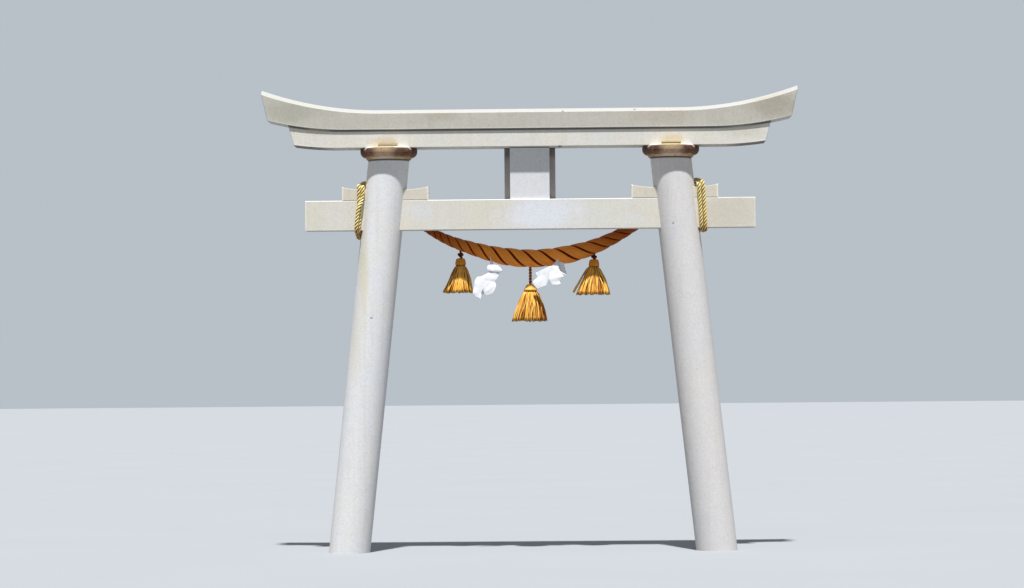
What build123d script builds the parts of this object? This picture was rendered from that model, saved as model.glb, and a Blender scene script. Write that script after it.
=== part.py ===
from build123d import *
from math import asin, cos, cosh, degrees, pi, radians, sin, sqrt, tan
import os

os.makedirs("parts", exist_ok=True)

# Stone shrine gate with two leaning pillars, seen from its -Y side.
# The origin is at ground level midway between the pillars, X runs along the beams and Z is up.
# Sizes are in millimetres and angles in degrees.

# Pillars
pillar_spacing = 4060
pillar_lean = 6.14
pillar_diameter = 454

# Heights, stacked from the ground
clear_height = 3560
nuki_height = 332
strut_height = 578
shimaki_height = 199
kasagi_height = 180
roof_rise = 51

# Tie beam through the pillars
nuki_length = 4982
nuki_thickness = 210

# Wedges beside the pillars, on the tie beam
wedge_height = 120
wedge_end_rise = 30
wedge_outer_reach = 2080
wedge_inner_reach = 1122

# Strut and tablet between the beams
strut_width = 437
strut_thickness = 166
tablet_width = 566
tablet_thickness = 70
tablet_border = 62
tablet_recess = 22
tablet_moulding = 14

# Capital rings
capital_height = 124
capital_radius = 315
capital_foot_radius = 250
capital_rim_height = 20
capital_band_height = 39
capital_arris = 14
capital_flats = 4
capital_housing = 7
seat_radius = 215
seat_height = 52

# Lower lintel
shimaki_thickness = 372
shimaki_bottom_length = 5207
shimaki_top_length = 5331
soffit_level_length = 4220
soffit_bend_radius = 3640

# Top lintel
kasagi_bottom_length = 5785
kasagi_top_length = 5941
kasagi_overhang = 20
kasagi_face_lean = 4.9
joint_level_length = 4040
joint_bend_radius = 3550
eave_level_length = 3300
eave_bend_radius = 3910

# Worn corners of the stone
stone_arris = 5

# Straw rope behind the gate
rope_low_height = 3250
rope_low_back = 168
rope_curve = 2040
rope_radius = 97
rope_end_radius = 30
rope_full_reach = 350
rope_taper_reach = 1450
rope_gap = 18
rope_sides = 12
rope_stations = 5
rope_wrap_turn = 48
rope_wrap_stations = 4

# Gold cord lashings on the pillars' outer sides
lashing_diameter = 46
lashing_turns = 2
left_lashing_slack = 38

# Tassels: what they hang by, place along X, drop under the rope, head height, head radius, skirt length, skirt radius
tassel_sizes = {
    "left": ("knot", -783, 84, 80, 54, 312, 156),
    "middle": ("cord", -6, 186, 78, 72, 340, 185),
    "right": ("knot", 704, 53, 85, 54, 317, 190),
}
tassel_cord_diameter = 26
tassel_cord_sides = 8
tassel_crown_share = 0.45
tassel_hem_share = 0.08
tassel_sides = 14

# Paper streamers: place along X, then the slants of their two tails in degrees
shide_places = {"left": (-446, (24, 0)), "right": (275, (50, -6))}
shide_setback = 80
shide_width = 120
shide_fold = 108
shide_step = 30
shide_folds = 3
shide_thickness = 3
shide_tab_width = 34
shide_tab_height = 46

# Worked out from the sizes above
lean_slope = tan(radians(pillar_lean))
nuki_top = clear_height + nuki_height
soffit = nuki_top + strut_height
pillar_head = soffit - capital_height
lintel_joint = soffit + shimaki_height
eave = lintel_joint + kasagi_height
mortise_top = nuki_top + wedge_height


# Distance of a pillar's axis from the middle of the gate at a height
def pillar_x(height):
    return pillar_spacing / 2 - lean_slope * height


# Rise of an upturned edge at a distance from the middle of the gate
def bend_rise(reach, level_length, radius):
    run = reach - level_length / 2
    return radius - sqrt(radius**2 - run**2)


# Turn of an upturned edge at a distance from the middle of the gate
def bend_angle(reach, level_length, radius):
    return degrees(asin((reach - level_length / 2) / radius))


# Pillars: straight leaning shafts, cut level at the ground and under the capital, with a mortise
shaft_length = pillar_head / cos(radians(pillar_lean))
shaft_spare = pillar_diameter * lean_slope
for side, name in ((-1, "left"), (1, "right")):
    shaft_plane = Plane(
        origin=(side * pillar_spacing / 2, 0, 0),
        x_dir=(0, 1, 0),
        z_dir=(-side * sin(radians(pillar_lean)), 0, cos(radians(pillar_lean))),
    )
    with BuildPart() as pillar:
        with BuildSketch(shaft_plane.offset(-shaft_spare)):
            Circle(pillar_diameter / 2)
        extrude(amount=shaft_length + 2 * shaft_spare)
        split(bisect_by=Plane.XY, keep=Keep.TOP)
        split(bisect_by=Plane.XY.offset(pillar_head), keep=Keep.BOTTOM)
        with BuildSketch(Plane.YZ.offset(side * pillar_x(nuki_top))):
            with Locations((0, (clear_height + mortise_top) / 2)):
                Rectangle(nuki_thickness, mortise_top - clear_height)
        extrude(amount=pillar_diameter, both=True, mode=Mode.SUBTRACT)
    pillar.part.label = f"pillar_{name}"
    export_step(pillar.part, f"parts/pillar_{name}.step")

# Capital rings: a cushion rounding under to a rim in narrow flats, with a seat that the lower lintel is housed in
capital_top = capital_height + capital_housing
cushion_foot = capital_rim_height
cushion_top = capital_height - capital_band_height
cushion_flats = [
    (
        capital_foot_radius + (capital_radius - capital_foot_radius) * sin(turn),
        cushion_top - (cushion_top - cushion_foot) * cos(turn),
    )
    for turn in (radians(90) * flat / capital_flats for flat in range(1, capital_flats + 1))
]
for side, name in ((-1, "left"), (1, "right")):
    with BuildPart() as capital:
        with BuildSketch(Plane.XZ):
            with BuildLine():
                Polyline(
                    (0, 0),
                    (capital_foot_radius, 0),
                    (capital_foot_radius, cushion_foot),
                    *cushion_flats,
                    (capital_radius, capital_top - capital_arris),
                    (capital_radius - capital_arris, capital_top),
                    (0, capital_top),
                    close=True,
                )
            make_face()
        revolve(axis=Axis.Z)
        with BuildSketch(Plane.XY.offset(capital_top)):
            Circle(seat_radius)
        extrude(amount=seat_height - capital_housing)
        with BuildSketch(Plane.XY.offset(capital_height)):
            Rectangle(2 * capital_radius, shimaki_thickness)
        extrude(amount=seat_height, mode=Mode.SUBTRACT)
    capital.part.locate(Location((side * pillar_x(pillar_head), 0, pillar_head)))
    capital.part.label = f"capital_{name}"
    export_step(capital.part, f"parts/capital_{name}.step")

# Tie beam
with BuildPart() as nuki:
    with BuildSketch(Plane.YZ):
        with Locations((0, (clear_height + nuki_top) / 2)):
            Rectangle(nuki_thickness, nuki_height)
    extrude(amount=nuki_length / 2, both=True)
    chamfer(nuki.edges(), stone_arris)
nuki.part.label = "nuki"
export_step(nuki.part, "parts/nuki.step")


# Distance of a pillar's face from the middle of the gate at a height, outside (1) or inside (-1)
def shaft_face_x(height, outward):
    return pillar_x(height) + outward * pillar_diameter / 2 / cos(radians(pillar_lean))


# Radius of a wedge's curved top, from the pillar's face to the free end
def wedge_curve(reach, outward):
    run = reach - shaft_face_x(mortise_top, outward)
    return (run**2 + wedge_end_rise**2) / (2 * wedge_end_rise)


# Wedges: level inside the mortise, with a top that curves up to the free end
for side, name in ((-1, "left"), (1, "right")):
    for reach, part_name in ((wedge_outer_reach, "outer"), (wedge_inner_reach, "inner")):
        middle = pillar_x(mortise_top)
        outward = 1 if reach > middle else -1
        shaft_face = shaft_face_x(mortise_top, outward)
        with BuildPart() as wedge:
            with BuildSketch(Plane.XZ):
                with BuildLine():
                    Polyline(
                        (side * shaft_face, mortise_top),
                        (side * middle, mortise_top),
                        (side * middle, nuki_top),
                        (side * reach, nuki_top),
                        (side * reach, mortise_top + wedge_end_rise),
                    )
                    RadiusArc(
                        (side * shaft_face, mortise_top),
                        (side * reach, mortise_top + wedge_end_rise),
                        -side * outward * wedge_curve(reach, outward),
                    )
                make_face()
            extrude(amount=nuki_thickness / 2, both=True)
            chamfer(wedge.faces().filter_by(Axis.Y).edges(), stone_arris)
        wedge.part.label = f"wedge_{name}_{part_name}"
        export_step(wedge.part, f"parts/wedge_{name}_{part_name}.step")

# Strut between the beams
with BuildPart() as strut:
    with BuildSketch(Plane.XY.offset(nuki_top)):
        Rectangle(strut_width, strut_thickness)
    extrude(amount=strut_height)
    chamfer(strut.edges().filter_by(Axis.Z), stone_arris)
strut.part.label = "gakuzuka"
export_step(strut.part, "parts/gakuzuka.step")

# Bare tablet on the far side of the strut: a frame with a moulded inner edge, and a sunk panel
tablet_face = strut_thickness / 2 + tablet_thickness
panel_width = tablet_width - 2 * tablet_border
panel_height = strut_height - 2 * tablet_border
tablet_middle = nuki_top + strut_height / 2
with BuildPart() as tablet_frame:
    with BuildSketch(Plane.XZ.offset(-strut_thickness / 2)):
        with Locations((0, tablet_middle)):
            Rectangle(tablet_width, strut_height)
            Rectangle(panel_width, panel_height, mode=Mode.SUBTRACT)
    extrude(amount=-tablet_thickness)
    far_face = tablet_frame.faces().sort_by(Axis.Y)[-1]
    chamfer(far_face.edges(), tablet_moulding)
tablet_frame.part.label = "tablet_frame"
export_step(tablet_frame.part, "parts/tablet_frame.step")

with BuildPart() as tablet_panel:
    with BuildSketch(Plane.XZ.offset(-strut_thickness / 2)):
        with Locations((0, tablet_middle)):
            Rectangle(panel_width, panel_height)
    extrude(amount=tablet_recess - tablet_thickness)
tablet_panel.part.label = "tablet_panel"
export_step(tablet_panel.part, "parts/tablet_panel.step")

# Lower lintel: level over the capitals, then swept up to raked ends
soffit_end = shimaki_bottom_length / 2
shimaki_end = shimaki_top_length / 2
with BuildPart() as shimaki:
    with BuildSketch(Plane.XZ):
        with BuildLine():
            soffit_bend = JernArc(
                start=(soffit_level_length / 2, soffit),
                tangent=(1, 0),
                radius=soffit_bend_radius,
                arc_size=bend_angle(soffit_end, soffit_level_length, soffit_bend_radius),
            )
            joint_bend = JernArc(
                start=(joint_level_length / 2, lintel_joint),
                tangent=(1, 0),
                radius=joint_bend_radius,
                arc_size=bend_angle(shimaki_end, joint_level_length, joint_bend_radius),
            )
            Line(soffit_bend @ 1, joint_bend @ 1)
            Polyline(soffit_bend @ 0, (0, soffit), (0, lintel_joint), joint_bend @ 0)
        make_face()
        mirror(about=Plane.YZ)
    extrude(amount=shimaki_thickness / 2, both=True)
    chamfer(shimaki.faces().filter_by(Axis.Y).edges(), stone_arris)
shimaki.part.label = "shimaki"
export_step(shimaki.part, "parts/shimaki.step")

# Top lintel: the right front quarter, then its mirror images
kasagi_foot = kasagi_bottom_length / 2
kasagi_tip = kasagi_top_length / 2
kasagi_half_foot = shimaki_thickness / 2 + kasagi_overhang
face_slope = tan(radians(kasagi_face_lean))
kasagi_half_eave = kasagi_half_foot + kasagi_height * face_slope
ridge = eave + roof_rise
cut_reach = kasagi_tip + kasagi_overhang
cut_rise = bend_rise(cut_reach, eave_level_length, eave_bend_radius)
block_depth = kasagi_half_foot + (ridge + cut_rise - lintel_joint) * face_slope
slope_run = block_depth + kasagi_overhang
slope_drop = roof_rise * slope_run / kasagi_half_eave
slope_length = sqrt(slope_run**2 + slope_drop**2)
cut_top = ridge + cut_rise + slope_drop + kasagi_overhang
with BuildPart() as kasagi:
    with BuildSketch(Plane.XZ):
        with BuildLine():
            under_bend = JernArc(
                start=(joint_level_length / 2, lintel_joint),
                tangent=(1, 0),
                radius=joint_bend_radius,
                arc_size=bend_angle(kasagi_foot, joint_level_length, joint_bend_radius),
            )
            ridge_bend = JernArc(
                start=(eave_level_length / 2, ridge),
                tangent=(1, 0),
                radius=eave_bend_radius,
                arc_size=bend_angle(kasagi_tip, eave_level_length, eave_bend_radius),
            )
            Line(under_bend @ 1, ridge_bend @ 1)
            Polyline(under_bend @ 0, (0, lintel_joint), (0, ridge), ridge_bend @ 0)
        make_face()
    extrude(amount=block_depth)
    with BuildSketch(Plane.XZ):
        with BuildLine():
            slope_bend = JernArc(
                start=(eave_level_length / 2, ridge),
                tangent=(1, 0),
                radius=eave_bend_radius,
                arc_size=bend_angle(cut_reach, eave_level_length, eave_bend_radius),
            )
            Polyline(slope_bend @ 1, (cut_reach, cut_top), (0, cut_top), (0, ridge), slope_bend @ 0)
        make_face()
    extrude(amount=slope_length, dir=(0, -slope_run, -slope_drop), mode=Mode.SUBTRACT)
    front_face = Plane(
        origin=(0, -kasagi_half_foot, lintel_joint),
        x_dir=(1, 0, 0),
        z_dir=(0, -1, -face_slope),
    )
    split(bisect_by=front_face, keep=Keep.BOTTOM)
    mirror(about=Plane.XZ)
    mirror(about=Plane.YZ)
    chamfer(kasagi.faces().sort_by(Axis.Y)[0].edges(), stone_arris)
    chamfer(kasagi.faces().sort_by(Axis.Y)[-1].edges(), stone_arris)
kasagi.part.label = "kasagi"
export_step(kasagi.part, "parts/kasagi.step")


# Height of the hanging rope's middle line, a catenary
def rope_height(x):
    return rope_low_height + rope_curve * (cosh(x / rope_curve) - 1)


# Radius of the rope, full in the middle and tapering to its ends
def rope_thickness(x):
    share = (abs(x) - rope_full_reach) / (rope_taper_reach - rope_full_reach)
    share = min(max(share, 0), 1)
    return rope_radius + (rope_end_radius - rope_radius) * share


wrap_middle = pillar_x(nuki_top)
wrap_radius = pillar_diameter / 2 + rope_end_radius + rope_gap


# Distance of the rope's middle line behind the gate, which bows forward between the pillars
def rope_depth(x):
    return rope_low_back + (wrap_radius - rope_low_back) * (x / wrap_middle) ** 2


# Straw rope: hangs behind the pillars, thickest in the middle, its ends drawn round to the lashings
rope_points = [
    (wrap_middle * station / rope_stations, rope_depth(wrap_middle * station / rope_stations))
    for station in range(rope_stations)
]
for station in range(1, rope_wrap_stations + 1):
    turn = radians(rope_wrap_turn * station / rope_wrap_stations)
    rope_points.append((wrap_middle + wrap_radius * sin(turn), wrap_radius * cos(turn)))
rope_line = [Vector(-x, y, rope_height(x)) for x, y in reversed(rope_points[1:])]
rope_line += [Vector(x, y, rope_height(x)) for x, y in rope_points]
with BuildPart() as rope:
    for index, point in enumerate(rope_line):
        before = rope_line[max(index - 1, 0)]
        after = rope_line[min(index + 1, len(rope_line) - 1)]
        along = (after - before).normalized()
        across = along.cross(Vector(0, 0, 1))
        with BuildSketch(Plane(origin=point, x_dir=across, z_dir=along)):
            RegularPolygon(rope_thickness(point.X), rope_sides)
    loft(ruled=True)
rope.part.label = "shimenawa"
export_step(rope.part, "parts/shimenawa.step")

# Lashings: turns of gold cord round the tie beam and the wedge, lying against the pillar
cord_radius = lashing_diameter / 2
cord_corner = cord_radius * (2 - sqrt(2))
lean = radians(pillar_lean)
for side, name in ((-1, "left"), (1, "right")):
    for turn in range(lashing_turns):
        slack = left_lashing_slack * turn if name == "left" else 0
        offset = pillar_diameter / 2 + cord_radius + turn * lashing_diameter
        middle_height = nuki_top + offset * sin(lean)
        loop_plane = Plane(
            origin=(side * (pillar_x(nuki_top) + offset * cos(lean)), 0, middle_height),
            x_dir=(0, 1, 0),
            z_dir=(side * cos(lean), 0, sin(lean)),
        )
        wedge_rise = bend_rise((turn + 1) * lashing_diameter, 0, wedge_curve(wedge_outer_reach, 1))
        rest_height = mortise_top + wedge_rise + cord_radius
        high = side * (rest_height - middle_height) / cos(lean)
        low = side * (clear_height - cord_radius - slack - middle_height) / cos(lean)
        half = nuki_thickness / 2 + cord_radius
        cut = half - cord_corner
        with BuildPart() as lashing:
            with BuildLine(loop_plane) as loop:
                Polyline(
                    (0, high),
                    (-cut, high),
                    (-half, high - side * cord_corner),
                    (-half, low + side * cord_corner),
                    (-cut, low),
                    (cut, low),
                    (half, low + side * cord_corner),
                    (half, high - side * cord_corner),
                    (cut, high),
                    close=True,
                )
            with BuildSketch(Plane(origin=loop.line @ 0, z_dir=loop.line % 0)):
                Circle(cord_radius)
            sweep(transition=Transition.RIGHT)
        lashing.part.label = f"lashing_{name}_{turn + 1}"
        export_step(lashing.part, f"parts/lashing_{name}_{turn + 1}.step")

# Tassels: a knot or cord out of the rope's underside, a bound head and a flared skirt, all many-sided
for name, (hanger, x, drop, head, head_radius, skirt, skirt_radius) in tassel_sizes.items():
    head_top = rope_height(x) - rope_thickness(x) - drop
    skirt_top = head_top - head
    with BuildPart() as tassel_hanger:
        with BuildSketch(Plane.XY.offset(head_top)):
            with Locations((x, rope_depth(x))):
                RegularPolygon(tassel_cord_diameter / 2, tassel_cord_sides)
        extrude(amount=rope_height(x) - head_top)
        add(rope.part, mode=Mode.SUBTRACT)
    tassel_hanger.part.label = f"tassel_{name}_{hanger}"
    export_step(tassel_hanger.part, f"parts/tassel_{name}_{hanger}.step")

    with BuildPart() as tassel_head:
        with BuildSketch(Plane.XY.offset(skirt_top)):
            with Locations((x, rope_depth(x))):
                RegularPolygon(head_radius, tassel_sides)
        extrude(amount=head)
        chamfer(tassel_head.faces().sort_by(Axis.Z)[-1].edges(), head_radius * tassel_crown_share)
    tassel_head.part.label = f"tassel_{name}_head"
    export_step(tassel_head.part, f"parts/tassel_{name}_head.step")

    hem_height = skirt * tassel_hem_share
    flare = (skirt_radius - head_radius) * cos(pi / tassel_sides)
    with BuildPart() as tassel_skirt:
        with BuildSketch(Plane.XY.offset(skirt_top - skirt)):
            with Locations((x, rope_depth(x))):
                RegularPolygon(skirt_radius, tassel_sides)
        extrude(amount=skirt)
        top = tassel_skirt.faces().sort_by(Axis.Z)[-1]
        chamfer(top.edges(), length=flare, length2=skirt - hem_height, reference=top)
        chamfer(tassel_skirt.faces().sort_by(Axis.Z)[0].edges(), hem_height / 2)
    tassel_skirt.part.label = f"tassel_{name}_skirt"
    export_step(tassel_skirt.part, f"parts/tassel_{name}_skirt.step")

# Paper streamers: a tab at the rope's underside and two zigzag tails, blown to the left
for name, (x, slants) in shide_places.items():
    hang_height = rope_height(x) - sqrt(rope_thickness(x) ** 2 - shide_setback**2)
    tab_foot = hang_height - shide_tab_height
    with BuildPart() as shide:
        with BuildSketch(Plane.XZ.offset(shide_setback - rope_depth(x) + shide_thickness / 2)):
            with Locations((x, hang_height)):
                Rectangle(shide_tab_width, 2 * shide_tab_height)
            for slant in slants:
                with Locations(Location((x, tab_foot), -slant)):
                    with Locations((0, 0)):
                        Rectangle(shide_tab_width, shide_tab_width)
                    for fold in range(shide_folds):
                        step = shide_step * (-1) ** fold / 2
                        with Locations((step, -(fold + 0.5) * shide_fold)):
                            Rectangle(shide_width, shide_fold)
        extrude(amount=-shide_thickness)
        add(rope.part, mode=Mode.SUBTRACT)
    shide.part.label = f"shide_{name}"
    export_step(shide.part, f"parts/shide_{name}.step")
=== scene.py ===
import bpy
import numpy as np
from mathutils import Euler, Matrix


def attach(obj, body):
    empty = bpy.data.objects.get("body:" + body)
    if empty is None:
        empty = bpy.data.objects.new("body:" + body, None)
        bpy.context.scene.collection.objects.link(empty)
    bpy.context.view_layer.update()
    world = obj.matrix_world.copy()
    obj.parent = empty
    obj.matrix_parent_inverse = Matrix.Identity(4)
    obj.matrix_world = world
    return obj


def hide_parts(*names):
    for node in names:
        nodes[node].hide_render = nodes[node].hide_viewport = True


# Stone shrine gate with a straw rope, gold cords, tassels and paper streamers.
# Metres, X along the beams, Y away from the camera, Z up, the origin on the ground between the pillars.

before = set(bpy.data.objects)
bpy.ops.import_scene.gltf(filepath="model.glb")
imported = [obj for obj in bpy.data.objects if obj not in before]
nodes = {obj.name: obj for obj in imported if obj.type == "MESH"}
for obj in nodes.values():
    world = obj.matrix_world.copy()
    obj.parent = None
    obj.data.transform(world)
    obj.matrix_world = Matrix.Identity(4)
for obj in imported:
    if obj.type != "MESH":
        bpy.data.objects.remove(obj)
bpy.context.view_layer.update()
print("frame loaded:", len(nodes), "nodes")


# Puts one object into the scene
def addObject(name, data):
    item = bpy.data.objects.new(name, data)
    bpy.context.scene.collection.objects.link(item)
    return item


# Camera: a long lens from far off, a little right of the middle, at a standing person's height
cameraSizes = {"lens": 105.5, "sensor": 36, "sight": 500, "place": (0.46, -33.229, 2.004),
               "turnLeft": 1.153, "tiltUp": 1.451, "roll": 0.482}


# Turned about Z, tilted up from level, then rolled about its own line of sight
def placeCamera(sizes):
    lensData = bpy.data.cameras.new("camera")
    lensData.lens = sizes["lens"]
    lensData.sensor_width = sizes["sensor"]
    lensData.clip_end = sizes["sight"]
    camera = addObject("camera", lensData)
    turned = Euler((np.radians(90 + sizes["tiltUp"]), 0, np.radians(sizes["turnLeft"])), "XYZ").to_matrix()
    rolled = Matrix.Rotation(np.radians(-sizes["roll"]), 3, "Z")
    camera.matrix_world = Matrix.Translation(sizes["place"]) @ (turned @ rolled).to_4x4()
    bpy.context.scene.camera = camera


placeCamera(cameraSizes)
print("camera placed")


# sRGB hex to linear: value / 12.92 when dark, ((value + 0.055) / 1.055) to the power 2.4 when not
def linearColour(hexText):
    shares = np.array([int(hexText[at:at + 2], 16) / 255 for at in (0, 2, 4)])
    linear = np.where(shares <= 0.04045, shares / 12.92, ((shares + 0.055) / 1.055) ** 2.4)
    return (*linear.tolist(), 1.0)


# Adds one node and gives one of its outputs. Inputs go by name or number, or as a list in the sockets' order: an output
# is linked, hex text is a colour. Settings are the node's properties. A node that nothing feeds is told its tree.
def addNode(kind, inputs, output=0, tree=None, stops=(), **settings):
    inputs = inputs if isinstance(inputs, dict) else dict(enumerate(inputs))
    tree = tree or next(value.id_data for value in inputs.values() if isinstance(value, bpy.types.NodeSocket))
    node = tree.nodes.new("ShaderNode" + kind)
    for key, value in settings.items():
        setattr(node, key, value)
    if stops:
        elements = node.color_ramp.elements
        while len(elements) < len(stops):
            elements.new(1.0)
        for element, (at, shade) in zip(elements, stops):
            element.position = at
            element.color = linearColour(shade)
    for key, value in inputs.items():
        if isinstance(value, bpy.types.NodeSocket):
            tree.links.new(value, node.inputs[key])
        else:
            node.inputs[key].default_value = linearColour(value) if isinstance(value, str) else value
    return node.outputs[output] if len(node.outputs) else None


# Empty material and its tree
def newFinish(name):
    finish = bpy.data.materials.new(name)
    finish.use_nodes = True
    finish.node_tree.nodes.clear()
    return finish, finish.node_tree


# Ends a material in one shader
def closeFinish(finish, settings):
    addNode("OutputMaterial", {"Surface": addNode("BsdfPrincipled", settings)})
    return finish


# The skin of every granite: crystals, dark mica and a hammered relief. The real crystals are 2 to 4 mm, and are drawn
# about three times as coarse, or none would show.
def closeGranite(finish, place, colour, look):
    crystals = addNode("TexVoronoi", {"Scale": 1 / look["crystal"], "Vector": place}, "Color")
    red = addNode("SeparateColor", [crystals], "Red")
    grain = addNode("TexNoise", {"Scale": 1 / look["grain"], "Detail": 3, "Roughness": 0.7, "Vector": place})
    darker, lighter = 1 - look["contrast"], 1 + look["contrast"]
    tone = addNode("Math", [addNode("MapRange", [red, 0, 1, darker, lighter]),
                            addNode("MapRange", [grain, 0.3, 0.7, darker, lighter])], operation="MULTIPLY")
    colour = addNode("Mix", {0: 1.0, 6: colour, 7: tone}, 2, data_type="RGBA", blend_type="MULTIPLY")
    mica = addNode("TexVoronoi", {"Scale": 1 / look["fleckGap"], "Vector": place}, "Distance")
    flecks = addNode("MapRange", [mica, 0.12, 0.28, look["fleckDepth"], 0.0])
    colour = addNode("Mix", {0: flecks, 6: colour, 7: look["fleck"]}, 2, data_type="RGBA")
    # pits between raised crystals, and a slow waviness of hand work
    pits = addNode("TexNoise", {"Scale": 1 / look["pit"], "Detail": 4, "Roughness": 0.7, "Vector": place})
    waves = addNode("TexNoise", {"Scale": 1 / look["wave"], "Detail": 2, "Vector": place})
    relief = addNode("Math", [waves, 2.5, pits], operation="MULTIPLY_ADD")
    skin = addNode("Bump", {"Strength": look["bump"], "Distance": 0.004, "Height": relief})
    dull = addNode("MapRange", [red.node.outputs["Green"], 0, 1, look["rough"] - 0.08, look["rough"] + 0.1])
    return closeFinish(finish, {"IOR": 1.54, "Base Color": colour, "Roughness": dull, "Normal": skin})


# Height over a line that is level up to a reach from the middle, then bends up in an arc:
# Z - height - (radius - sqrt(radius^2 - run^2)), where run = max(|X| - reach, 0)
def heightOverLine(out, up, height, reach, radius):
    run = addNode("Math", [addNode("Math", [out, reach], operation="SUBTRACT"), 0.0], operation="MAXIMUM")
    square = addNode("Math", [run, run], operation="MULTIPLY")
    root = addNode("Math", [addNode("Math", [radius ** 2, square], operation="SUBTRACT")], operation="SQRT")
    above = addNode("Math", [up, height + radius], operation="SUBTRACT")
    return addNode("Math", [above, root], operation="ADD")


# Share of a band: all its depth up to half - soft from its middle, and nothing past half + soft
def bandShare(value, middle, half, soft, depth):
    away = addNode("Math", [addNode("Math", [value, middle], operation="SUBTRACT")], operation="ABSOLUTE")
    return addNode("MapRange", [away, half - soft, half + soft, depth, 0.0])


# Granite with rain streaks, dirt on upright faces, tops darkened as painted light, brown stain and painted shade
# underneath, and the lines
# and single marks of the stones: stains, joints, painted shade and painted highlights. Each layer is laid over the last
# one by its share.
def weatheredGranite(name, look, *stones):
    finish, tree = newFinish(name)
    place = addNode("TexCoord", [], "Object", tree)
    sideways = addNode("SeparateXYZ", [place], "X")
    out, up = addNode("Math", [sideways], operation="ABSOLUTE"), sideways.node.outputs["Z"]
    patches = addNode("TexNoise", {"Scale": 1 / look["patch"], "Detail": 4, "Roughness": 0.6, "Vector": place})
    colour = addNode("ValToRGB", [patches], stops=[(0.34, look["cool"]), (0.66, look["warm"])])
    # rain streaks run straight down
    drawnOut = addNode("Mapping", {"Scale": (1 / 0.05, 1 / 0.05, 1 / 1.4), "Vector": place})
    streaks = addNode("TexNoise", {"Scale": 1.0, "Detail": 3, "Roughness": 0.55, "Vector": drawnOut})
    facing = addNode("SeparateXYZ", [addNode("NewGeometry", [], "Normal", tree)], "Z")
    upright = addNode("MapRange", [facing, 0.2, 0.7, look["dirtDepth"], 0.0])
    blots = addNode("TexNoise", {"Scale": 1 / look["blotch"], "Detail": 5, "Roughness": 0.65, "Vector": place})
    blotchy = addNode("MapRange", [blots, 0.35, 0.65, 0.6, 1.0])
    layers = [(look["rain"], addNode("MapRange", [streaks, 0.5, 0.78, 0.0, look["rainDepth"]])),
              (look["dirt"], addNode("Math", [upright, blotchy], operation="MULTIPLY")),
              # painted light: upward faces are darkened so that tops in the lamp's full light stay below white
              (look["top"], addNode("MapRange", [facing, 0.3, 0.8, 0.0, look["litTopDarkening"]])),
              # downward faces darken brown: partly stain, partly painted shade
              (look["under"], addNode("MapRange", [facing, -0.75, -0.25, look["underStainAndShadeDepth"], 0.0]))]
    # lines along a joint or an arris, some painted shade in a gap or joint and some painted highlights on an arris, and
    # ends that are painted highlights
    for height, low, high, soft, shade, depth in look["lines"]:
        over = heightOverLine(out, up, height, *look["bend"])
        layers.append((shade, bandShare(over, (low + high) / 2, (high - low) / 2, soft, depth)))
    for middle, half, soft, shade, depth in look["ends"]:
        layers.append((shade, bandShare(out, middle, half, soft, depth)))
    # soft stretched spots with a ragged edge
    for where, size, shade, depth in look["marks"]:
        off = addNode("VectorMath", [place, where], operation="SUBTRACT")
        scaled = addNode("VectorMath", [off, size], operation="DIVIDE")
        away = addNode("VectorMath", [scaled], "Value", operation="LENGTH")
        edge = addNode("TexNoise", {"Scale": 2.5 / max(size), "Detail": 3, "Vector": place})
        ragged = addNode("Math", [edge, 0.9, away], operation="MULTIPLY_ADD")
        spot = addNode("MapRange", [ragged, 0.75, 1.55, depth, 0.0], interpolation_type="SMOOTHSTEP")
        layers.append((shade, spot))
    for shade, share in layers:
        colour = addNode("Mix", {0: share, 6: colour, 7: shade}, 2, data_type="RGBA")
    closeGranite(finish, place, colour, look)
    for stone in stones:
        nodes[stone].data.materials.clear()
        nodes[stone].data.materials.append(finish)


# What all granites share, then what each one changes. A line is (height, band from, band to, soft edge, colour,
# depth), bent by (reach, radius). An end is (place, half width, soft edge, colour, depth), and a mark (place, size,
# colour, depth).
plainLook = {
    "patch": 0.5, "crystal": 0.011, "grain": 0.035, "contrast": 0.035, "fleckGap": 0.04, "fleck": "a19e96",
    "fleckDepth": 0.16, "rain": "cbc6ba", "rainDepth": 0.3, "dirt": "d3d0c8", "dirtDepth": 0.25, "blotch": 0.4,
    # top: painted light, darkening upward faces against the lamp; under: brown stain with painted shade on downward
    # faces
    "top": "b4b3af", "litTopDarkening": 0.95, "under": "5c5046", "underStainAndShadeDepth": 0.85, "pit": 0.013, "wave": 0.22, "bump": 0.25,
    "rough": 0.75, "bend": (3.0, 5.0), "lines": [], "ends": [], "marks": []}
# Pale blue-white granite of the left pillar, fine-hammered, with a faint ochre run below the tie beam
pillarLook = {
    **plainLook, "patch": 0.35, "cool": "e8eaed", "warm": "ece9e4", "fleck": "8f9096", "fleckGap": 0.034,
    "fleckDepth": 0.18, "dirt": "e0e0e2", "dirtDepth": 0.2, "pit": 0.012, "bump": 0.27, "rough": 0.8,
    # painted shadow: a near-black band on the pillar just under the capital ring's foot
    "lines": [(4.346, -0.02, 0.004, 0.004, "2e2824", 0.85)],
    "marks": [
        ((-1.84, -0.2, 3.1), (0.09, 0.4, 0.75), "ddd0a4", 0.5), ((-1.93, -0.2, 2.3), (0.07, 0.4, 0.6), "e0d8bc", 0.35),
        ((-1.755, -0.2, 2.59), (0.02, 0.4, 0.014), "5d5a55", 0.75)]}
weatheredGranite("hammeredPillarGranite", pillarLook, "pillar_left")
# The right pillar is a little warmer
weatheredGranite("warmPillarGranite", {
    **pillarLook, "cool": "dfdddd", "warm": "e3deda", "dirt": "dad6d3",
    "marks": [((1.575, -0.2, 3.606), (0.016, 0.4, 0.012), "5d5a55", 0.7)]}, "pillar_right")
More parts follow.
